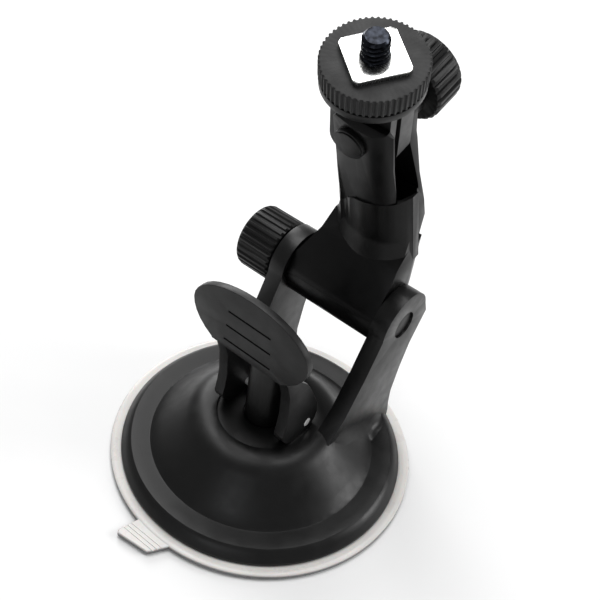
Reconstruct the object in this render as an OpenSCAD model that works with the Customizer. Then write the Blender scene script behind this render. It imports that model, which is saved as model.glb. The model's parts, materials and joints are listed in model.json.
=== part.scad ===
// Suction-cup windscreen mount with a quarter inch camera screw. Millimetres.
// X runs along the lower hinge, Y points to the back, Z up. The origin is the middle of the pad's underside.

/* [Suction foot] */
// Radius of the soft suction pad
pad_r = 42; // [41:0.5:44]
// Thickness of the suction pad
pad_t = 1.6; // [1.4:0.1:1.7]
// Outer radius of the base ring where it meets the pad
ring_r = 39; // [38:0.5:40]
// Height of the ring's rim
ring_h = 5; // [4.8:0.1:5.3]
// Height of the dome's flat top
dome_h = 16.1; // [16:0.1:16.4]

/* [Fork and lower hinge] */
// Distance of the lower hinge behind the middle of the pad
hinge_y = 30.4; // [30:0.1:31]
// Height of the lower hinge
hinge_z = 41.5; // [41:0.1:43]
// Width across the outer faces of the two fork arms
fork_w = 39; // [38.6:0.1:39.4]
// Thickness of each fork arm
fork_t = 4.8; // [4.6:0.1:4.9]
// Radius of the lower knob over its ribs
lower_knob_r = 9.5; // [9:0.1:10]
// Number of ribs on the lower knob
lower_ribs = 30; // [24:1:36]

/* [Lock lever] */
// Width across the lever's two cheeks
lever_w = 24; // [23.6:0.1:24.4]
// Thickness of each cheek
cheek_t = 3; // [2.8:0.1:3.1]
// How far the lever lifts the middle of the pad
lift = 6.5; // [6:0.1:6.6]
// Turn of the lever from released to locked, in degrees
lever_turn = 75; // [70:1:78]

/* [Arm and head] */
// Backward lean of the upper half of the arm, in degrees
arm_lean = 18.3; // [17:0.1:19]
// Sideways tilt of the head, in degrees
head_tilt = 6.2; // [0:0.1:8]
// Radius of the upper knob over its ribs
upper_knob_r = 10.1; // [9.7:0.1:10.4]
// Number of ribs on the upper knob
upper_ribs = 28; // [24:1:32]
// Radius of the thumbwheel over its teeth
wheel_r = 12.25; // [12:0.05:12.5]
// Number of teeth on the thumbwheel
wheel_teeth = 56; // [48:1:60]
// Side of the square plate under the camera
plate_w = 13.2; // [12.8:0.1:13.6]

/* [Hidden] */
$fn = 96;

BLACK = [0.13, 0.13, 0.135];
GREY = [0.22, 0.22, 0.225];
MILKY = [0.9, 0.9, 0.88];
ZINC = [0.78, 0.78, 0.76];
BRASS = [0.75, 0.6, 0.3];
OXIDE = [0.1, 0.1, 0.12];

fit = 0.05;                         // radial clearance of a turning fit
gap = 0.3;                          // clearance between moving faces
eps = 0.01;
screw_r = 3.175;                    // quarter inch camera screw
bolt_r = 2.5;                       // both clamp bolts
bolt_head_r = 4.2;                  // head of the upper bolt
nut_af = 8;                         // brass nuts, across the flats
nut_h = 4;
washer_t = 0.8;

ring_low = 4.6;                   // groove between the ring and the dome
dome_foot = 31;
dome_in = 12.5;                     // ceiling of the hollow under the dome
plate_r = 13;                       // wear plate under the lever's cams
plate_z = 14.5;
plate_t = 1;
stem_r = 5.4;
stem_top = 37.5;
foot_r = 15;                        // plate at the stem's foot, above the pad
foot_z = 2;
foot_t = 1.6;

fork_in = fork_w / 2 - fork_t;
barrel_r = 8.1;
barrel_w = 2 * (fork_in - gap);
boss_r = 9.7;
sink_r = 4;                         // recess for the lower bolt's head
sink_t = 2.4;

pin_y = 3;                          // the lever's pin, in the stem
pin_r = 1.25;
cam_h = 3.2;                        // pin above the wear plate
pin_z = plate_z + plate_t + cam_h;
cam_c = lift / (lever_turn * PI / 180);
paddle_y = -11;                     // front face of the paddle
paddle_t = 2;
paddle_z = 54;
paddle_w = 36.4;

joint_y = 26.7;                     // upper hinge, which lies along the leaning arm's own Y
joint_z = 97;
ear_front = -7.2;                   // stack along the upper hinge, from its middle
slot_front = -4.5;
slot_back = 5.5;
ear_back = 9;
boss_back = 12.4;
knob_front = 13.6;
knob_back = 23.4;
table_z = 14.8;                     // round table of the head, above the upper hinge
table_t = 1.9;
wheel_z = 17;
wheel_h = 4.8;
tooth_h = 0.4;
wheel_top = wheel_z + wheel_h;
plate_top = wheel_top + 1.34;
plate_turn = -36;
screw_foot = 11.2;
shank_r = 3;                        // plain part of the camera screw
thread_foot = plate_top + 0.2;
screw_top = wheel_top + 7.1;
screw_chamfer = 0.6;
clip_z = 12.2;
groove_r = 2.4;
groove_h = 1;

// ---------- shared shapes ----------

// A profile drawn in Y and Z, as thick as x1 - x0 along X
module slab(x0, x1) {
    translate([x0, 0, 0]) rotate([90, 0, 90]) linear_extrude(x1 - x0) children();
}

// Round bar along X
module bar_x(r, x0, x1) {
    translate([x0, 0, 0]) rotate([0, 90, 0]) cylinder(r = r, h = x1 - x0);
}

// Round bar along Y
module bar_y(r, y0, y1) {
    translate([0, y0, 0]) rotate([-90, 0, 0]) cylinder(r = r, h = y1 - y0);
}

// Outline with n flat-topped ribs: each has a crest, a flank, a valley and a flank
function ribbed(r_out, r_in, n) = [for (i = [0:n - 1], k = [0:3])
    let (a = (i + [0, 0.35, 0.5, 0.85][k]) * 360 / n, r = k < 2 ? r_out : r_in)
    [r * cos(a), r * sin(a)]];

// Ribbed knob from z = 0 to h, its far edge rounded, with a hex pocket for its nut at z = 0
module knob(r, h, ribs, depth, edge, bolt_len) {
    difference() {
        intersection() {
            linear_extrude(h) polygon(ribbed(r, r - depth, ribs));
            rotate_extrude() polygon(concat([[0, 0], [r - 0.6, 0], [r + eps, 0.6]],
                [for (a = [0:15:90]) [r + eps - edge + edge * cos(a), h - edge + edge * sin(a)]],
                [[0, h]]));
        }
        translate([0, 0, -eps]) cylinder(d = (nut_af + 0.1) / cos(30), h = nut_h + 0.4, $fn = 6);
        translate([0, 0, -eps]) cylinder(r = bolt_r + gap, h = bolt_len);
    }
}

module hex_nut() {
    difference() {
        cylinder(d = nut_af / cos(30), h = nut_h, $fn = 6);
        translate([0, 0, -1]) cylinder(r = bolt_r + fit, h = nut_h + 2);
    }
}

module washer(r_in, r_out, t) {
    difference() {
        cylinder(r = r_out, h = t);
        translate([0, 0, -1]) cylinder(r = r_in, h = t + 2);
    }
}

// Frame of the lower hinge, with the bolt and knob pointing along -X
module at_hinge() translate([0, hinge_y, hinge_z]) children();

// Frame of the upper half of the arm: Y along the upper hinge, Z up the arm
module at_joint() translate([0, joint_y, joint_z]) rotate([arm_lean, 0, 0]) children();

// Frame of the tilted head: Z is the wheel's axis
module at_head() at_joint() rotate([0, head_tilt, 0]) children();

// ---------- suction foot ----------

module suction_pad() color(MILKY) difference() {
    union() {
        cylinder(r = pad_r, h = pad_t, $fn = 180);
        linear_extrude(pad_t) polygon([[-6.4, 1 - pad_r], [-8, -47], [-7.4, -48], [2, -46.7], [2.6, -46],
            [5.4, 1 - pad_r]]);
    }
    for (k = [0:2]) translate([-9, -43.2 - 1.1 * k, pad_t - 0.3]) cube([14, 0.4, 1]);
}

module stem_foot() {
    translate([0, 0, foot_z]) cylinder(r = foot_r, h = foot_t);
}

module lift_stem() color(BLACK) difference() {
    union() {
        stem_foot();
        translate([0, 0, foot_z]) cylinder(r = stem_r, h = stem_top - foot_z);
        translate([0, 0, stem_top]) cylinder(r1 = stem_r, r2 = stem_r - 0.8, h = 0.8);
    }
    translate([0, pin_y, pin_z]) bar_x(pin_r + fit, -8, 8);
}

// Conical return spring: the coils nest as it is pressed flat
spring_wire = 0.4;
spring_turns = 4;
spring_steps = 24;
spring_z0 = foot_z + foot_t + spring_wire + 0.05;
spring_z1 = dome_in - spring_wire - 0.05;
function spring_ring(s) = let (
    a = 360 * spring_turns * s,
    r = 12 - 5.4 * s,
    z = spring_z0 + (spring_z1 - spring_z0) * s)
    [for (k = [0:7]) let (b = 45 * k, q = r + spring_wire * cos(b))
        [q * cos(a), q * sin(a), z + spring_wire * sin(b)]];

module stem_spring() color(ZINC) {
    n = spring_turns * spring_steps;
    rings = [for (i = [0:n]) each spring_ring(i / n)];
    sides = [for (i = [0:n - 1], k = [0:7]) let (m = (k + 1) % 8)
        [8 * i + k, 8 * i + m, 8 * i + 8 + m, 8 * i + 8 + k]];
    polyhedron(rings, concat([[for (k = [7:-1:0]) k]], sides, [[for (k = [0:7]) 8 * n + k]]));
}

// Half section of the ring and dome, without the hollow
module shell_outside() {
    shoulder = dome_h - 9;
    polygon(concat(
        [[0, pad_t], [ring_r, pad_t], [ring_r - 0.1, 2.2], [ring_r - 1.9, ring_h - 0.5],
            [ring_r - 2.8, ring_h], [dome_foot + 0.6, ring_low + 0.05],
            [dome_foot, ring_low], [dome_foot - 1.1, ring_low + 0.7]],
        [for (a = [45:-7.5:0]) [15 + 9 * sin(a), shoulder + 9 * cos(a)]],
        [[0, dome_h]]));
}

module shell_hollow() {
    shoulder = dome_in - 5.4;
    polygon(concat(
        [[0, pad_t - 1], [28.8, pad_t - 1], [28.8, 2.2]],
        [for (a = [45:-15:0]) [15 + 5.4 * sin(a), shoulder + 5.4 * cos(a)]],
        [[0, dome_in]]));
}

// One fork arm, as seen from the side: it rises from the dome and the back of the ring
module fork_outline() {
    translate([hinge_y, hinge_z]) circle(r = boss_r);
    polygon([[3, 12], [3.6, 15], [9.4, 20.9], [15.5, 31], [21.2, 42.5], [30, 46], [hinge_y + 9.1, hinge_z + 3],
        [41.4, 39.8], [39.2, 35.8], [36.4, 30.5], [34, 22.5], [32.4, 13.9], [32.8, 8.6], [33.6, 4.5],
        [33.6, 2], [10, 2]]);
}

module base_shell() color(GREY) difference() {
    union() {
        rotate_extrude($fn = 180) shell_outside();
        for (x = [-fork_w / 2, fork_in]) slab(x, x + fork_t) fork_outline();
    }
    rotate_extrude($fn = 120) shell_hollow();
    translate([0, 0, plate_z]) cylinder(r = plate_r + 0.1, h = 5);
    cylinder(r = stem_r + fit, h = 20);
    at_hinge() bar_x(bolt_r + fit, -30, 30);
    at_hinge() bar_x(sink_r, fork_w / 2 - sink_t, 30);
}

module wear_plate() color(BLACK) translate([0, 0, plate_z]) washer(stem_r + gap, plate_r, plate_t);

// ---------- lock lever ----------

// The cam's outline: its reach below the pin grows evenly as the lever turns forward
function cam_point(a) = let (h = cam_h + cam_c * a * PI / 180)
    [pin_y - h * sin(a) - cam_c * cos(a), pin_z - h * cos(a) + cam_c * sin(a)];

module cheek_outline() {
    polygon(concat([for (a = [0:7.5:lever_turn]) cam_point(a)],
        [[-6.9, 24.5], [-6.5, 28.6], [-6.9, 36], [-8.6, 41.5], [paddle_y + 0.6, 46], [paddle_y + 0.6, 52],
            [paddle_y + 3.4, 52], [-6.6, 44.5], [-4.2, 40.6], [0.3, 36], [2, 33.2], [6.3, 24.4], [7, 20],
            [6.2, 17.4], [4.2, pin_z - cam_h]]));
}

// Oval paddle in X and Z, with a straight lower edge
module paddle_outline() {
    w = paddle_w / 2;
    polygon(concat(
        [for (a = [0:10:180]) [w * cos(a), paddle_z + 10 * sin(a)]],
        [for (a = [190:10:230]) [w * cos(a), paddle_z + 12.5 * sin(a)]],
        [[-11.5, paddle_z - 10], [11.5, paddle_z - 10]],
        [for (a = [310:10:350]) [w * cos(a), paddle_z + 12.5 * sin(a)]]));
}

module lever() color(BLACK) difference() {
    union() {
        for (x = [-lever_w / 2, lever_w / 2 - cheek_t]) slab(x, x + cheek_t) cheek_outline();
        translate([0, paddle_y + paddle_t, 0]) rotate([90, 0, 0]) linear_extrude(paddle_t) paddle_outline();
        slab(1 - lever_w / 2, lever_w / 2 - 1) polygon([[paddle_y + 0.6, 44.2], [paddle_y + 0.6, 50],
            [paddle_y + 3, 50], [paddle_y + 3.6, 47], [paddle_y + 3, 44.2]]);
    }
    translate([0, pin_y, pin_z]) bar_x(pin_r - 0.02, -20, 20);
    for (k = [0:2]) translate([-6.8 - 0.4 * k, paddle_y - 1, 56.2 - 4.9 * k]) cube([13.4 + 0.8 * k, 1.4, 0.5]);
}

module lever_pin() color(ZINC) translate([0, pin_y, pin_z]) bar_x(pin_r, -lever_w / 2, lever_w / 2);

// ---------- lower hinge ----------

module lower_bolt() color(ZINC) at_hinge() {
    bar_x(bolt_r, -30, fork_w / 2 - sink_t);
    bar_x(3.7, fork_w / 2 - sink_t, fork_w / 2 - 0.6);
}

module at_lower_knob() at_hinge() translate([-fork_w / 2 - washer_t - 0.1, 0, 0]) rotate([0, -90, 0]) children();

module lower_washer() color(BLACK) at_hinge() translate([-fork_w / 2, 0, 0]) rotate([0, -90, 0])
    washer(bolt_r + fit, 6, washer_t);

module lower_knob() color(BLACK) at_lower_knob() knob(lower_knob_r, 12, lower_ribs, 0.5, 1.8, 10.2);

module lower_knob_nut() color(BRASS) at_lower_knob() translate([0, 0, 0.2]) hex_nut();

// ---------- arm ----------

// Lower half of the arm from the side, in Y and Z: the barrel and a wedge that leans back
module body_outline() {
    translate([hinge_y, hinge_z]) circle(r = barrel_r);
    polygon([[22.5, 43.5], [25.6, 50.1], [30.3, 56.9], [35.7, 61.1], [42.4, 61.4], [41.3, 55],
        [40.6, 47.5], [38.4, 42.5], [31, 36]]);
}

// The same half from the front, in X and Z
module body_front() {
    w = barrel_w / 2;
    polygon([[-w, 30], [w, 30], [w, 54], [w - 1.2, 62], [-10.8, 62], [-10.8, 57], [-w, 49]]);
}

// Collar above the wedge: a channel, round in front and open to the right
module collar() {
    difference() {
        intersection() {
            translate([2.5, 7, -42]) cylinder(r = 14.8, h = 30);
            translate([0, 0, -42]) linear_extrude(30)
                polygon([[-8.6, -9], [14, -9], [14, 0], [10.8, 0], [10.8, 8], [-8.6, 8]]);
            slab(-9, 15) polygon([[-9, -33.5], [-12, -42], [4, -42], [6.9, -34], [6.8, -28], [2, -16],
                [-9, -15]]);
            translate([0, 20, 0]) rotate([90, 0, 0]) linear_extrude(40) polygon([[-8.6, -42], [-8.6, -34],
                [-5.8, -25.4], [0, -20.5], [10.9, -17.8], [14, -15.6], [14, -42]]);
        }
        intersection() {
            translate([2.5, 7, -38]) cylinder(r = 13.3, h = 40);
            slab(-2, 20) polygon([[-9, -35], [3.8, -38], [3.8, -12], [-9, -12]]);
        }
    }
}

// Flared foot of the collar, standing on the wedge
module collar_foot() {
    intersection() {
        slab(-10, 13.4) polygon([[29, 55], [27, 62], [30.2, 66.5], [36, 66], [40, 60], [36, 56]]);
        at_joint() translate([2.5, 7, -43]) cylinder(r1 = 18.2, r2 = 14.7, h = 10);
    }
}

// Front ear and neck: a flat face with a slanted left part, bevelled at the top
module neck() {
    intersection() {
        translate([0, 0, -30]) linear_extrude(38) polygon([[1.6, ear_front], [6.4, ear_front + 0.1],
            [9, ear_front + 1], [10.7, slot_front - 0.3], [10.7, slot_front], [-6, slot_front],
            [-6.4, slot_front - 1], [-5.4, slot_front - 1.9]]);
        slab(-20, 20) polygon([[ear_front - 1, -30], [ear_front - 1, 4], [ear_front + 1.4, 6.8],
            [slot_front, 6.8], [slot_front, -30]]);
        translate([0, 20, 0]) rotate([90, 0, 0]) linear_extrude(40) polygon([[-5.4, -25.9], [-7.4, -20],
            [-5.4, -8], [-5.4, 5], [-4, 6.8], [9.4, 6.8], [10.6, 5.6], [10.4, -6], [10.9, -18.4], [0, -21.2]]);
    }
}

// Web under the slot, the rear wall, and the back ear with its boss
module back_ear() {
    w = 7.2;
    slab(-6.4, -2) polygon([[ear_front + 1.2, -38], [slot_front - 1, -22.6], [-1.6, -22.6], [slot_back, -26.6],
        [6.4, -30], [3, -40]]);
    intersection() {
        slab(-10, 12) polygon([[slot_back, 0], [slot_back, -22], [3.8, -26], [3.8, -36], [-2, -42], [3.9, -40],
            [6.9, -34], [6.8, -18], [ear_back - 0.6, -8], [ear_back, 0]]);
        translate([0, 20, 0]) rotate([90, 0, 0]) linear_extrude(40) polygon([[-8.6, -42], [-8.6, -20], [-w, -8],
            [-w, 0], [w, 0], [w, -6], [9.4, -18], [10.8, -28], [11.4, -42]]);
    }
    bar_y(w, slot_back, ear_back);
    bar_y(6.6, ear_back - 1, boss_back);
}

module middle_arm() color(GREY) difference() {
    union() {
        intersection() {
            slab(-20, 20) body_outline();
            translate([0, 80, 0]) rotate([90, 0, 0]) linear_extrude(100) body_front();
            linear_extrude(70) polygon([[-20, 10], [20, 10], [20, 36], [fork_in, 36], [12, 43.5], [-20, 43.5]]);
        }
        collar_foot();
        at_joint() {
            collar();
            neck();
            back_ear();
        }
    }
    at_hinge() bar_x(bolt_r + fit, -20, 20);
    at_joint() bar_y(bolt_r + fit, -10, 14);
}

// ---------- upper hinge ----------

module upper_bolt() color(BLACK) at_joint() {
    bar_y(bolt_head_r, ear_front - 1, ear_front);
    bar_y(bolt_head_r - 0.5, ear_front - 1.4, ear_front - 1);
    bar_y(bolt_r, ear_front, 21);
}

module upper_washer() color(BLACK) at_joint() translate([0, boss_back, 0]) rotate([-90, 0, 0])
    washer(bolt_r + fit, 6, washer_t);

module at_upper_knob() at_joint() translate([0, knob_front, 0]) rotate([-90, 0, 0]) children();

module upper_knob() color(BLACK) at_upper_knob()
    knob(upper_knob_r, knob_back - knob_front, upper_ribs, 0.8, 1.6, 8);

module upper_knob_nut() color(BRASS) at_upper_knob() translate([0, 0, 0.2]) hex_nut();

// ---------- tilting head ----------

// Tongue from the front, in X and Z, with rounded lower corners
module tongue_outline() {
    w = 8.4;
    edge = 4.5;
    low = -10;
    polygon(concat([[w, table_z], [-w, table_z]],
        [for (a = [180:15:270]) [edge - w + edge * cos(a), low + edge + edge * sin(a)]],
        [for (a = [270:15:360]) [w - edge + edge * cos(a), low + edge + edge * sin(a)]]));
}

// Two tongues between the ears carry the round table that the wheel turns on
module tilt_head() color(BLACK) at_head() difference() {
    union() {
        translate([0, 0, table_z]) cylinder(r = 12.1, h = table_t);
        translate([0, 0, table_z - 1.4]) cylinder(r1 = 10.4, r2 = 11.8, h = 1.4);
        for (y = [[slot_front + gap, -1.8], [0, slot_back - gap]]) {
            translate([0, y[1], 0]) rotate([90, 0, 0]) linear_extrude(y[1] - y[0]) tongue_outline();
        }
        translate([-8.4, slot_front + gap, 9.2]) cube([16.8, slot_back - slot_front - 2 * gap, 5.2]);
    }
    bar_y(bolt_r + fit, -10, 10);
    cylinder(r = shank_r + fit, h = 20);
    translate([0, 0, 10.6]) cylinder(r = 3.9, h = 2.8);
    translate([-20, -3.9, 10.6]) cube([20, 7.8, 2.8]);
}

module thumbwheel() color(GREY) at_head() difference() {
    union() {
        translate([0, 0, wheel_z]) linear_extrude(wheel_h)
            polygon(ribbed(wheel_r, wheel_r - tooth_h, wheel_teeth));
        translate([0, 0, wheel_z - 0.2]) cylinder(r = 9, h = 1);
    }
    translate([0, 0, wheel_z - 1]) cylinder(r = shank_r, h = wheel_h + 2);
}

module square_plate() color(ZINC) at_head() rotate([0, 0, plate_turn]) translate([0, 0, wheel_top]) difference() {
    intersection() {
        translate([-plate_w / 2, -plate_w / 2, 0]) cube([plate_w, plate_w, plate_top - wheel_top]);
        cylinder(r = plate_w / sqrt(2) - 0.6, h = 5);
    }
    translate([0, 0, -1]) cylinder(r = screw_r + fit, h = 5);
}

module camera_screw() color(OXIDE) at_head() {
    translate([0, 0, screw_foot]) cylinder(r = shank_r, h = clip_z - screw_foot);
    translate([0, 0, clip_z - eps]) cylinder(r = groove_r, h = groove_h + 2 * eps);
    translate([0, 0, clip_z + groove_h]) cylinder(r = shank_r, h = thread_foot - clip_z - groove_h);
    translate([0, 0, thread_foot]) cylinder(r = screw_r, h = screw_top - screw_chamfer - thread_foot);
    translate([0, 0, screw_top - screw_chamfer])
        cylinder(r1 = screw_r, r2 = screw_r - screw_chamfer, h = screw_chamfer);
}

// Open ring in the groove at the foot of the camera screw
module screw_clip() color(ZINC) at_head() translate([0, 0, clip_z + 0.1]) difference() {
    washer(groove_r + 0.02, 3.7, 0.8);
    translate([-6, -1.6, -1]) cube([6, 3.2, 3]);
}

suction_pad();
lift_stem();
stem_spring();
base_shell();
wear_plate();
lever();
lever_pin();
lower_bolt();
lower_washer();
lower_knob();
lower_knob_nut();
middle_arm();
upper_bolt();
upper_washer();
upper_knob();
upper_knob_nut();
tilt_head();
thumbwheel();
square_plate();
camera_screw();
screw_clip();
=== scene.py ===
import json
import math

import bmesh
import bpy
from mathutils import Matrix, Vector


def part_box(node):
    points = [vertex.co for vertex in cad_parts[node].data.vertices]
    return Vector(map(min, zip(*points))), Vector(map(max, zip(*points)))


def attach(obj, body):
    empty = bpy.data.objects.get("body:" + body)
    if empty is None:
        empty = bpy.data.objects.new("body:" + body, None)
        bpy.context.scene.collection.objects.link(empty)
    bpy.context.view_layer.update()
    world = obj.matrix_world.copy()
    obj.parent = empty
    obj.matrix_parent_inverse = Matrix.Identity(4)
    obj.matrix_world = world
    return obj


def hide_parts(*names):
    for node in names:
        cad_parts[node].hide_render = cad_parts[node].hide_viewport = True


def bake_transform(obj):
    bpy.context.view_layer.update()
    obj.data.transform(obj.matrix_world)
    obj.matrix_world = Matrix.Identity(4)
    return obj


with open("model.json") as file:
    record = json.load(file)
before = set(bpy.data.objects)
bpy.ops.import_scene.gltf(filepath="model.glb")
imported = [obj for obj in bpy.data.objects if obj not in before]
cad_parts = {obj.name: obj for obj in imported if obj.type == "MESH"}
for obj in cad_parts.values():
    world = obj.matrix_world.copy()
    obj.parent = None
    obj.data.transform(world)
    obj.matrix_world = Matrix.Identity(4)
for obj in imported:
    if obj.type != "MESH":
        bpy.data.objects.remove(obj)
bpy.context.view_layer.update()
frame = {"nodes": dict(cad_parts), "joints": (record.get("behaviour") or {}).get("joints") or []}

# Sizes are in millimetres unless a comment says otherwise, and MM turns them into metres
MM = 0.001
WHITE = (1.0, 1.0, 1.0)

# ---------- the camera ----------

CAMERA_AT = Vector((101.4, -145.8, 225.3)) * MM
CAMERA_TURN = math.radians(38.32)
CAMERA_PITCH = math.radians(42.38)
CAMERA_ROLL = math.radians(5.30)
LENS_MM = 60.0
SENSOR_MM = 36.0
SHIFT = (0.105, -0.037)
CLIP_START = 10 * MM


def make_camera():
    data = bpy.data.cameras.new("camera")
    data.lens = LENS_MM
    data.sensor_width = SENSOR_MM
    data.shift_x, data.shift_y = SHIFT
    data.clip_start = CLIP_START
    camera = bpy.data.objects.new("camera", data)
    bpy.context.scene.collection.objects.link(camera)
    turn = Matrix.Rotation(CAMERA_TURN, 4, "Z")
    pitch = Matrix.Rotation(math.pi / 2 - CAMERA_PITCH, 4, "X")
    roll = Matrix.Rotation(CAMERA_ROLL, 4, "Z")
    camera.matrix_world = Matrix.Translation(CAMERA_AT) @ turn @ pitch @ roll
    bpy.context.scene.camera = camera


# ---------- materials ----------

# The part of a noise's range that is put to use
NOISE_RANGE = (0.3, 0.7)
# Darkest and lightest tone of a plastic, and how far its roughness strays
TONE_LOW = (0.86, 0.86, 0.88)
TONE_HIGH = (1.14, 1.14, 1.15)
SMOOTHER = 0.05
ROUGHER = 0.07
# Heights over which the painted shade on the pad's lower edge fades from grey to white
PAD_SHADE_HEIGHTS = (1.0 * MM, 1.45 * MM)


def new_material(name, colour, roughness, metallic=0.0):
    material = bpy.data.materials.new(name)
    material.use_nodes = True
    tree = material.node_tree
    shader = tree.nodes["Principled BSDF"]
    shader.inputs["Base Color"].default_value = (*colour, 1.0)
    shader.inputs["Roughness"].default_value = roughness
    shader.inputs["Metallic"].default_value = metallic
    return material, tree, shader


def noise(tree, scale, detail=4.0, stretch=(1.0, 1.0, 1.0)):
    """Noise over the object's own coordinates, in features per metre."""
    place = tree.nodes.new("ShaderNodeTexCoord")
    mapping = tree.nodes.new("ShaderNodeMapping")
    mapping.inputs["Scale"].default_value = stretch
    texture = tree.nodes.new("ShaderNodeTexNoise")
    texture.inputs["Scale"].default_value = scale
    texture.inputs["Detail"].default_value = detail
    tree.links.new(place.outputs["Object"], mapping.inputs["Vector"])
    tree.links.new(mapping.outputs["Vector"], texture.inputs["Vector"])
    return texture.outputs["Fac"]


def ramp(tree, source, low, high, ends=(0.35, 0.65)):
    """Turns a factor into a colour between low and high."""
    node = tree.nodes.new("ShaderNodeValToRGB")
    node.color_ramp.elements[0].position = ends[0]
    node.color_ramp.elements[1].position = ends[1]
    node.color_ramp.elements[0].color = (*low, 1.0)
    node.color_ramp.elements[1].color = (*high, 1.0)
    tree.links.new(source, node.inputs["Fac"])
    return node.outputs["Color"]


def spread(tree, source, low, high):
    """Turns a factor into a number from low to high."""
    node = tree.nodes.new("ShaderNodeMapRange")
    node.inputs["From Min"].default_value = NOISE_RANGE[0]
    node.inputs["From Max"].default_value = NOISE_RANGE[1]
    node.inputs["To Min"].default_value = low
    node.inputs["To Max"].default_value = high
    tree.links.new(source, node.inputs["Value"])
    return node.outputs["Result"]


def bump(tree, shader, source, depth, strength):
    """Relief of that depth in metres."""
    node = tree.nodes.new("ShaderNodeBump")
    node.inputs["Distance"].default_value = depth
    node.inputs["Strength"].default_value = strength
    tree.links.new(source, node.inputs["Height"])
    tree.links.new(node.outputs["Normal"], shader.inputs["Normal"])


def plastic(name, shade, roughness, grain, grain_depth, gloss_level):
    """Moulded plastic: spark-eroded grain, cloudy gloss and a faint change of tone.

    The grain is in features per metre, and its depth in millimetres."""
    material, tree, shader = new_material(name, (shade, shade, shade), roughness)
    cloud = noise(tree, 90.0)
    low = tuple(shade * tone for tone in TONE_LOW)
    high = tuple(shade * tone for tone in TONE_HIGH)
    tree.links.new(ramp(tree, cloud, low, high), shader.inputs["Base Color"])
    gloss = noise(tree, 260.0, 6.0)
    sheen = spread(tree, gloss, roughness - SMOOTHER, roughness + ROUGHER)
    tree.links.new(sheen, shader.inputs["Roughness"])
    shader.inputs["Specular IOR Level"].default_value = gloss_level
    bump(tree, shader, noise(tree, grain, 2.0), grain_depth * MM, 0.6)
    return material


def bright_zinc():
    """Zinc plate: near white metal with fine scratches one way."""
    material, tree, shader = new_material("bright_zinc", (0.83, 0.83, 0.81), 0.2, 1.0)
    cloud = noise(tree, 320.0)
    tone = ramp(tree, cloud, (0.72, 0.73, 0.74), (0.9, 0.9, 0.87))
    tree.links.new(tone, shader.inputs["Base Color"])
    scratch = noise(tree, 900.0, 5.0, (1.0, 9.0, 1.0))
    tree.links.new(spread(tree, scratch, 0.14, 0.3), shader.inputs["Roughness"])
    bump(tree, shader, scratch, 0.004 * MM, 0.35)
    return material


def dull_zinc():
    """Cut end of a plated pin: soft bright grey."""
    material, tree, shader = new_material("dull_zinc", (0.85, 0.85, 0.84), 0.5, 0.5)
    tone = ramp(tree, noise(tree, 1200.0), (0.74, 0.74, 0.74), (0.9, 0.9, 0.89))
    tree.links.new(tone, shader.inputs["Base Color"])
    tree.links.new(spread(tree, noise(tree, 2500.0), 0.42, 0.56), shader.inputs["Roughness"])
    bump(tree, shader, noise(tree, 4000.0, 2.0), 0.006 * MM, 0.3)
    return material


def black_oxide():
    """Blackened steel with a cold sheen."""
    material, tree, shader = new_material("black_oxide", (0.06, 0.065, 0.085), 0.3, 1.0)
    cloud = noise(tree, 700.0)
    tone = ramp(tree, cloud, (0.008, 0.0085, 0.0105), (0.026, 0.029, 0.037))
    tree.links.new(tone, shader.inputs["Base Color"])
    tree.links.new(spread(tree, noise(tree, 1500.0), 0.16, 0.3), shader.inputs["Roughness"])
    bump(tree, shader, noise(tree, 5000.0, 2.0), 0.006 * MM, 0.4)
    return material


def machined_brass():
    """Turned brass for the nuts in the knobs."""
    material, tree, shader = new_material("machined_brass", (0.72, 0.52, 0.22), 0.3, 1.0)
    cloud = noise(tree, 500.0)
    tone = ramp(tree, cloud, (0.62, 0.43, 0.17), (0.78, 0.59, 0.28))
    tree.links.new(tone, shader.inputs["Base Color"])
    tree.links.new(spread(tree, noise(tree, 1200.0), 0.24, 0.4), shader.inputs["Roughness"])
    return material


def milky_plastic():
    """Soft, slightly see-through plastic, bright on top, with painted shade that greys its lower
    edge.
    """
    material, tree, shader = new_material("milky_plastic", (0.7, 0.69, 0.67), 0.3)
    place = tree.nodes.new("ShaderNodeTexCoord")
    split = tree.nodes.new("ShaderNodeSeparateXYZ")
    tree.links.new(place.outputs["Object"], split.inputs["Vector"])
    height = tree.nodes.new("ShaderNodeMapRange")
    height.inputs["From Min"].default_value = PAD_SHADE_HEIGHTS[0]
    height.inputs["From Max"].default_value = PAD_SHADE_HEIGHTS[1]
    tree.links.new(split.outputs["Z"], height.inputs["Value"])
    rising = height.outputs["Result"]
    # Painted shade: grey low on the pad's rim, tab and sheet, fading to white higher up
    edge = ramp(tree, rising, (0.17, 0.17, 0.17), (0.74, 0.72, 0.69), (0.1, 0.9))
    cloud = ramp(tree, noise(tree, 60.0), (0.86, 0.86, 0.87), WHITE)
    mix = tree.nodes.new("ShaderNodeMix")
    mix.data_type = "RGBA"
    mix.blend_type = "MULTIPLY"
    mix.inputs["Factor"].default_value = 1.0
    colours = [i for i in mix.inputs if i.type == "RGBA"]
    tree.links.new(edge, colours[0])
    tree.links.new(cloud, colours[1])
    blended = next(o for o in mix.outputs if o.type == "RGBA")
    tree.links.new(blended, shader.inputs["Base Color"])
    tree.links.new(spread(tree, noise(tree, 300.0), 0.24, 0.36), shader.inputs["Roughness"])
    shader.inputs["Subsurface Weight"].default_value = 0.15
    shader.inputs["Subsurface Scale"].default_value = 0.6 * MM
    bump(tree, shader, noise(tree, 1500.0, 2.0), 0.01 * MM, 0.3)
    return material


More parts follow.
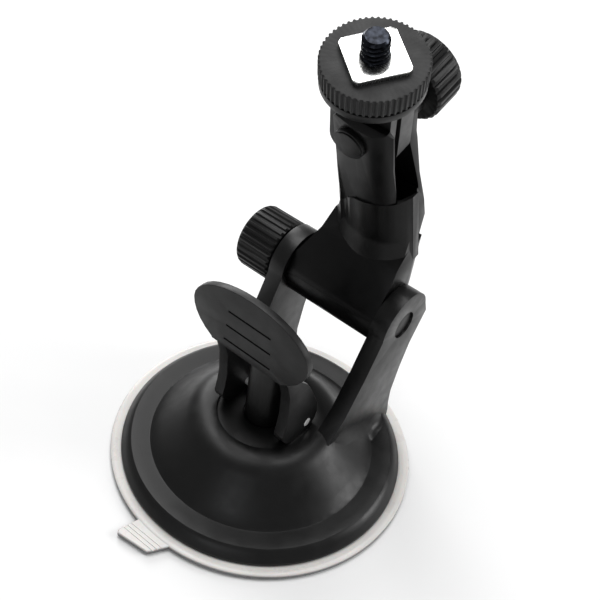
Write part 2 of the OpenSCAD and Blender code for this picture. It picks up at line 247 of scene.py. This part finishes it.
MATERIALS = {
    "satin": plastic("satin_shell", 0.003, 0.36, 5200.0, 0.01, 0.34),
    "arm": plastic("satin_arm", 0.002, 0.34, 5200.0, 0.01, 0.22),
    "matte": plastic("matte_moulding", 0.006, 0.42, 3800.0, 0.016, 0.28),
    "collar": plastic("dark_collar", 0.002, 0.42, 5200.0, 0.01, 0.22),
    "wheel": plastic("grained_wheel", 0.013, 0.55, 2600.0, 0.05, 0.32),
    "knob": plastic("knob_moulding", 0.005, 0.4, 4200.0, 0.012, 0.26),
    "zinc": bright_zinc(),
    "pin": dull_zinc(),
    "oxide": black_oxide(),
    "brass": machined_brass(),
    "pad": milky_plastic(),
}

# Material of each CAD node, and the radius of its edges in millimetres
FINISH = {
    "base_shell": ("satin", 0.45),
    "wear_plate": ("collar", 0.2),
    "lift_stem": ("satin", 0.3),
    "lever": ("matte", 0.55),
    "lever_pin": ("pin", 0.15),
    "lower_bolt": ("collar", 0.3),
    "lower_washer": ("collar", 0.15),
    "lower_knob": ("knob", 0.12),
    "lower_knob_nut": ("brass", 0.2),
    "middle_arm": ("arm", 0.5),
    "upper_bolt": ("matte", 0.3),
    "upper_washer": ("collar", 0.15),
    "upper_knob": ("knob", 0.18),
    "upper_knob_nut": ("brass", 0.2),
    "tilt_head": ("matte", 0.35),
    "thumbwheel": ("wheel", 0.16),
    "square_plate": ("zinc", 0.2),
    "screw_clip": ("zinc", 0.1),
}


# Edges sharper than this stay sharp, and are rounded where a radius is given
CAD_CREASE = math.radians(28)
PIECE_CREASE = math.radians(35)
WELD_DISTANCE = 0.002 * MM


def round_edges(piece, edge, segments, crease):
    """Rounds the edges sharper than crease, by that radius in millimetres."""
    round_off = piece.modifiers.new("round_off", "BEVEL")
    round_off.width = edge * MM
    round_off.segments = segments
    round_off.limit_method = "ANGLE"
    round_off.angle_limit = crease
    return round_off


def smooth_faces(mesh, crease):
    mesh.polygons.foreach_set("use_smooth", [True] * len(mesh.polygons))
    mesh.set_sharp_from_angle(angle=crease)


def finish_node(name, material, edge):
    """Gives a CAD node its material, smooth faces and rounded edges."""
    node = frame["nodes"][name]
    node.data.materials.clear()
    node.data.materials.append(MATERIALS[material])
    smooth_faces(node.data, CAD_CREASE)
    weld = node.modifiers.new("weld", "WELD")
    weld.merge_threshold = WELD_DISTANCE
    round_edges(node, edge, 3, CAD_CREASE).harden_normals = True


# ---------- new pieces ----------


def add_piece(name, verts, faces, material, body=None, replaced=None, edge=0.0):
    """A mesh piece that rides on a body, or on none.

    Its coordinates are in the frame's metres, and the radius of its edges in millimetres."""
    mesh = bpy.data.meshes.new(name)
    mesh.from_pydata([tuple(v) for v in verts], [], faces)
    mesh.validate()
    work = bmesh.new()
    work.from_mesh(mesh)
    bmesh.ops.recalc_face_normals(work, faces=work.faces)
    work.to_mesh(mesh)
    work.free()
    mesh.materials.append(MATERIALS[material])
    smooth_faces(mesh, PIECE_CREASE)
    piece = bpy.data.objects.new(name, mesh)
    bpy.context.scene.collection.objects.link(piece)
    if edge:
        round_edges(piece, edge, 2, PIECE_CREASE)
    if body:
        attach(piece, body)
    if replaced:
        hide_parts(replaced)
    return piece


def turn_angle(step, steps):
    """Angle after that many steps, where steps make a full turn."""
    return 2 * math.pi * step / steps


def tube_faces(rings, sides):
    """Quads between successive rings of points, and a cap on the first and the last ring."""
    faces = []
    for i in range(rings - 1):
        for j in range(sides):
            k = (j + 1) % sides
            near, far = i * sides, (i + 1) * sides
            faces.append((near + j, near + k, far + k, far + j))
    faces.append(tuple(range(sides))[::-1])
    faces.append(tuple((rings - 1) * sides + j for j in range(sides)))
    return faces


def joint(name):
    return next(j for j in frame["joints"] if j["name"] == name)


def head_frame():
    """Matrix of the tilted head: Z along the wheel's axis, Y along the upper hinge."""
    axis = Vector(joint("wheel_turn")["axis"]).normalized()
    hinge = Vector(joint("head_tilt")["axis"]).normalized()
    side = hinge.cross(axis).normalized()
    turned = Matrix((side, hinge, axis)).transposed().to_4x4()
    return Matrix.Translation(Vector(joint("head_tilt")["pos_m"])) @ turned


# The camera screw, in millimetres along the wheel's axis from the upper hinge
SCREW_R = 3.175
SCREW_FOOT = 11.2
SCREW_TOP = 28.9
FOOT_CHAMFER = 0.3
TOP_CHAMFER = 0.75
CHAMFER_SLOPE = 0.9
GROOVE_R = 2.4
GROOVE = (12.2, 13.2)
THREAD_FROM = 22.6
THREAD_PITCH = 1.27
THREAD_DEPTH = 0.7
# Half of the flat crest and each flank, as shares of half a pitch
THREAD_CREST = 0.16
THREAD_FLANK = 0.6
# Height over which the thread reaches its full depth
THREAD_START = 0.4
SCREW_SIDES = 96
THREAD_ROWS = 84


def thread_radius(z, turn):
    """Radius of a right-hand thread with narrow crests and roots; the top is chamfered."""
    phase = (z / THREAD_PITCH - turn) % 1.0
    rise = (abs(phase - 0.5) * 2.0 - THREAD_CREST) / THREAD_FLANK
    rise = min(1.0, max(0.0, rise))
    start = min(1.0, max(0.0, (z - THREAD_FROM) / THREAD_START))
    chamfer = SCREW_R - max(0.0, z - (SCREW_TOP - TOP_CHAMFER)) * CHAMFER_SLOPE
    return min(SCREW_R - THREAD_DEPTH * rise * start, chamfer)


def camera_screw():
    """Plain shank with the clip's groove, then the helical thread up to the top."""
    low, high = GROOVE
    shank = [(SCREW_FOOT, SCREW_R - FOOT_CHAMFER), (SCREW_FOOT + FOOT_CHAMFER, SCREW_R),
             (low, SCREW_R), (low, GROOVE_R), (high, GROOVE_R), (high, SCREW_R)]
    rings = [(z, [r] * SCREW_SIDES) for z, r in shank]
    step = (SCREW_TOP - THREAD_FROM) / (THREAD_ROWS - 1)
    for i in range(THREAD_ROWS):
        z = THREAD_FROM + step * i
        rings.append((z, [thread_radius(z, j / SCREW_SIDES) for j in range(SCREW_SIDES)]))
    place = head_frame()
    verts = []
    for z, radii in rings:
        for j, r in enumerate(radii):
            a = turn_angle(j, SCREW_SIDES)
            verts.append(place @ (Vector((r * math.cos(a), r * math.sin(a), z)) * MM))
    faces = tube_faces(len(rings), SCREW_SIDES)
    add_piece("threaded_camera_screw", verts, faces, "oxide", "screw_wheel",
              replaced="camera_screw")


# The base's outside, in millimetres: radius and height of the dome, the flat ring and its edge
SHELL_PROFILE = [(0, 16.1), (15, 16.1), (18.4, 15.4), (21.4, 13.5), (25.6, 8.9), (29.9, 5.3),
                 (31, 4.6), (31.6, 4.65), (36.2, 5.0), (37.1, 4.5), (38.9, 2.2)]
RIM_R = 36.2

# The fork arms' feet: an arm's outer face and thickness, and the fillets' width and run in Y
FORK_OUTER = 19.5
FORK_THICK = 4.8
OUTER_FILLET = (3.6, 6.0, 30.2)
INNER_FILLET = (1.6, 7.0, 32.0)
FILLET_STEPS = 46
FILLET_ROWS = 9
# Height over width, width left at the ends, and the share of its run where it fades out
FILLET_LEAN = 1.35
FILLET_END = 0.15
FILLET_FADE = 0.2
# How far the fillet's edges, back and underside lie inside the solids
SKIN = 0.05
BACK_DEPTH = 0.8
UNDER_DEPTH = 0.6


def shell_height(r):
    """Height of the base's outside at that radius."""
    for (r0, z0), (r1, z1) in zip(SHELL_PROFILE, SHELL_PROFILE[1:]):
        if r0 <= r <= r1:
            return z0 + (z1 - z0) * (r - r0) / (r1 - r0)
    return SHELL_PROFILE[-1][1]


def foot_fillet(name, face_x, outward, fillet):
    """Concave blend between a fork arm's face and the shell under it."""
    reach, y_from, y_to = fillet
    verts = []
    for i in range(FILLET_STEPS + 1):
        share = i / FILLET_STEPS
        y = y_from + (y_to - y_from) * share
        fade = min(1.0, share / FILLET_FADE, (1 - share) / FILLET_FADE)
        size = reach * (FILLET_END + (1 - FILLET_END) * math.sin(math.pi / 2 * fade))
        size = min(size, math.sqrt(RIM_R ** 2 - y ** 2) - abs(face_x))
        foot_x = face_x + outward * size
        foot = Vector((foot_x, y, shell_height(math.hypot(foot_x, y)) - SKIN))
        corner = Vector((face_x, y, shell_height(math.hypot(face_x, y))))
        top = corner + Vector((-SKIN * outward, 0, size * FILLET_LEAN))
        for k in range(FILLET_ROWS):
            t = k / (FILLET_ROWS - 1)
            verts.append((foot * (1 - t) ** 2 + corner * 2 * t * (1 - t) + top * t ** 2) * MM)
        back_x = face_x - outward * BACK_DEPTH
        verts.append(Vector((back_x, y, corner.z + size)) * MM)
        verts.append(Vector((back_x, y, corner.z - UNDER_DEPTH)) * MM)
    faces = tube_faces(FILLET_STEPS + 1, FILLET_ROWS + 2)
    add_piece(name, verts, faces, "satin", "base")


def fork_fillets():
    inner = FORK_OUTER - FORK_THICK
    for side, sign in (("left", -1), ("right", 1)):
        foot_fillet("fork_fillet_outer_" + side, sign * FORK_OUTER, sign, OUTER_FILLET)
        foot_fillet("fork_fillet_inner_" + side, sign * inner, -sign, INNER_FILLET)


# The soft pad, in millimetres: a rim under the ring, and a thin sheet that the stem lifts
PAD_R = 41.9
PAD_T = 1.6
PAD_RIM = [(30.5, 0.25), (38, 0.1), (39.6, 0.02), (41.6, 0.0), (41.85, 0.15), (PAD_R, 0.4),
           (PAD_R, 1.2), (41.75, 1.45), (41.4, PAD_T), (40.4, 1.58), (39.6, 1.4), (38.9, 1.25),
           (37.5, 1.45), (30.5, 1.45)]
RIM_SIDES = 240
SHEET_R = 31.5
SHEET_ROWS = 22
SHEET_SIDES = 120
# Height of the sheet's faces at its edge, and how much higher they are in the middle
SHEET_TOP = (0.75, 1.1)
SHEET_UNDER = (0.15, 0.85)
# The hole left in the middle of the sheet, too small to see
CENTRE_R = 0.01


def revolved(name, profile, sides, body=None):
    """Closed ring of the pad's plastic, from an outline of (radius, height) in millimetres."""
    verts = []
    for j in range(sides):
        a = turn_angle(j, sides)
        for r, z in profile:
            verts.append(Vector((r * math.cos(a), r * math.sin(a), z)) * MM)
    n = len(profile)
    faces = []
    for j in range(sides):
        k = (j + 1) % sides
        for i in range(n):
            m = (i + 1) % n
            faces.append((j * n + i, k * n + i, k * n + m, j * n + m))
    return add_piece(name, verts, faces, "pad", body)


def sheet_face(edge, rise):
    """One face of the sheet, from the middle out: it arches up by rise."""
    points = []
    for i in range(SHEET_ROWS + 1):
        arch = 0.5 + 0.5 * math.cos(math.pi * i / SHEET_ROWS)
        points.append((max(SHEET_R * i / SHEET_ROWS, CENTRE_R), edge + rise * arch))
    return points


def suction_pad():
    pad = revolved("pad_rim", PAD_RIM, RIM_SIDES, "base")
    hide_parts("suction_pad")
    outline = sheet_face(*SHEET_UNDER) + sheet_face(*SHEET_TOP)[::-1]
    sheet = revolved("pad_sheet", outline, SHEET_SIDES)
    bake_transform(sheet)


# The return spring, in millimetres: it narrows upwards, so that its coils nest when pressed
SPRING_WIRE = 0.4
SPRING_TAPER = 5.4
SPRING_TURNS = 4
STEPS_PER_TURN = 64
WIRE_SIDES = 12


def return_spring():
    low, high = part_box("stem_spring")
    wire = SPRING_WIRE * MM
    wide = high[0] - wire
    narrow = wide - SPRING_TAPER * MM
    top, foot = high[2] - wire, low[2] + wire
    steps = STEPS_PER_TURN * SPRING_TURNS
    verts = []
    for i in range(steps + 1):
        s = i / steps
        a = turn_angle(i, STEPS_PER_TURN)
        r = wide + (narrow - wide) * s
        z = foot + (top - foot) * s
        for k in range(WIRE_SIDES):
            b = turn_angle(k, WIRE_SIDES)
            q = r + wire * math.cos(b)
            verts.append((q * math.cos(a), q * math.sin(a), z + wire * math.sin(b)))
    faces = tube_faces(steps + 1, WIRE_SIDES)
    spring = add_piece("return_spring", verts, faces, "zinc",
                       replaced="stem_spring")
    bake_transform(spring)


# The pull tab, in millimetres: its outline and faces, and the slanting ridges across it
TAB_OUTLINE = [(-6.4, -40.9), (-8.0, -46.9), (-7.4, -47.9), (2.0, -46.6), (2.6, -45.9),
               (5.4, -40.9)]
TAB_Z = (0.05, 1.45)
TAB_EDGE = 0.3
RIDGE_COUNT = 3
RIDGE_Y = -43.3
RIDGE_GAP = 1.1
RIDGE_ENDS = (-6.9, 4.1)
# The tab narrows outwards, so each ridge's ends move by this much
RIDGE_SHIFT = (0.25, 0.5)
RIDGE_HALF = 0.16
RIDGE_SLANT = 0.25
RIDGE_Z = (1.3, 1.56)
RIDGE_EDGE = 0.06


def prism(name, outline, levels, edge):
    """Upright prism of the pad's plastic between two levels."""
    verts = [Vector((x, y, z)) * MM for z in levels for x, y in outline]
    faces = tube_faces(len(levels), len(outline))
    add_piece(name, verts, faces, "pad", "base", edge=edge)


def pull_tab():
    """Tab on the pad's rim, with its ridges."""
    prism("pull_tab", TAB_OUTLINE, TAB_Z, TAB_EDGE)
    for k in range(RIDGE_COUNT):
        y = RIDGE_Y - RIDGE_GAP * k
        near, far = y + RIDGE_HALF, y - RIDGE_HALF
        left, right = (end - shift * k for end, shift in zip(RIDGE_ENDS, RIDGE_SHIFT))
        bar = [(left, far), (right, far + RIDGE_SLANT), (right, near + RIDGE_SLANT), (left, near)]
        prism(f"tab_ridge_{k + 1}", bar, RIDGE_Z, RIDGE_EDGE)


# ---------- stage and light ----------

FLOOR_HALF = 3.0
FLOOR_Z = -0.2 * MM

# Name, place and size in metres, power in watts, and colour. All of them face LIT_POINT.
LIT_POINT = (0.0, 0.0, 0.05)
LIGHTS = [
    ("overhead", (-0.15, 0.2, 0.8), (0.6, 0.5), 4.6, WHITE),
    ("right_side", (0.6, 0.5, 0.4), (0.35, 0.4), 3.2, WHITE),
    ("left_back", (-0.6, 0.45, 0.4), (0.35, 0.4), 3.0, WHITE),
    ("front", (0.2, -0.8, 0.5), (0.4, 0.3), 0.6, (0.95, 0.97, 1.0)),
]
WORLD_STRENGTH = 0.3


def stage():
    material, tree, shader = new_material("pale_floor", (0.86, 0.86, 0.86), 0.6)
    cloud = ramp(tree, noise(tree, 6.0), (0.84, 0.84, 0.84), (0.88, 0.88, 0.88))
    tree.links.new(cloud, shader.inputs["Base Color"])
    work = bmesh.new()
    bmesh.ops.create_grid(work, x_segments=2, y_segments=2, size=FLOOR_HALF)
    mesh = bpy.data.meshes.new("floor")
    work.to_mesh(mesh)
    work.free()
    mesh.materials.append(material)
    floor = bpy.data.objects.new("floor", mesh)
    floor.location.z = FLOOR_Z
    bpy.context.scene.collection.objects.link(floor)


def soft_box(name, at, size, power, colour):
    """Rectangular light that faces the part."""
    data = bpy.data.lights.new(name, "AREA")
    data.shape = "RECTANGLE"
    data.size, data.size_y = size
    data.energy = power
    data.color = colour
    light = bpy.data.objects.new(name, data)
    light.location = at
    ray = Vector(LIT_POINT) - Vector(at)
    light.rotation_euler = ray.to_track_quat("-Z", "Y").to_euler()
    bpy.context.scene.collection.objects.link(light)


def surroundings():
    """A dim white world behind the lights."""
    world = bpy.data.worlds.new("studio")
    world.use_nodes = True
    background = world.node_tree.nodes["Background"]
    background.inputs["Color"].default_value = (*WHITE, 1.0)
    background.inputs["Strength"].default_value = WORLD_STRENGTH
    bpy.context.scene.world = world
    bpy.context.scene.view_settings.view_transform = "Standard"


make_camera()
for node_name, (material_name, edge_mm) in FINISH.items():
    finish_node(node_name, material_name, edge_mm)
camera_screw()
fork_fillets()
suction_pad()
pull_tab()
return_spring()
stage()
for light in LIGHTS:
    soft_box(*light)
surroundings()
